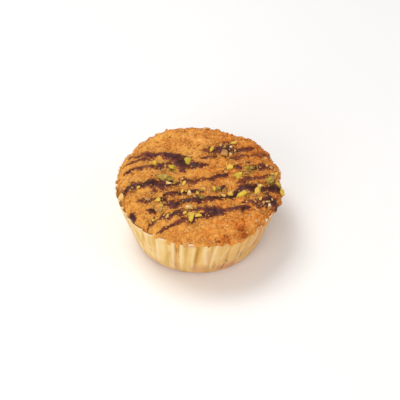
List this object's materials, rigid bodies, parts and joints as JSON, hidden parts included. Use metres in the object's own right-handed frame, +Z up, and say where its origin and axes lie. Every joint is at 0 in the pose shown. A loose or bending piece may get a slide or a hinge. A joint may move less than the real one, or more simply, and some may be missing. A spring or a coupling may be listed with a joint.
{
  "type": "coconut cupcake",
  "caption": "Round cupcake with a low craggy golden crust in a pleated paper case, drizzled with dark chocolate and strewn with chopped pistachio.",
  "frame": {"origin": "centre of the case's flat foot, on the surface it stands on", "axes": "+Z up out of the crust, -Y towards the front, +X to the right; the drizzle runs roughly along X"},
  "size_m": [0.0751, 0.0752, 0.0373],
  "materials": {
    "golden_crumb": "matt, craggy baked crumb with dark chocolate drizzle and chopped green pistachio",
    "greaseproof_paper": "thin pleated baking paper, slightly greasy and satin"
  },
  "bodies": {
    "root": {"cake": "golden_crumb", "paper_case": "greaseproof_paper"}
  },
  "joints": []
}
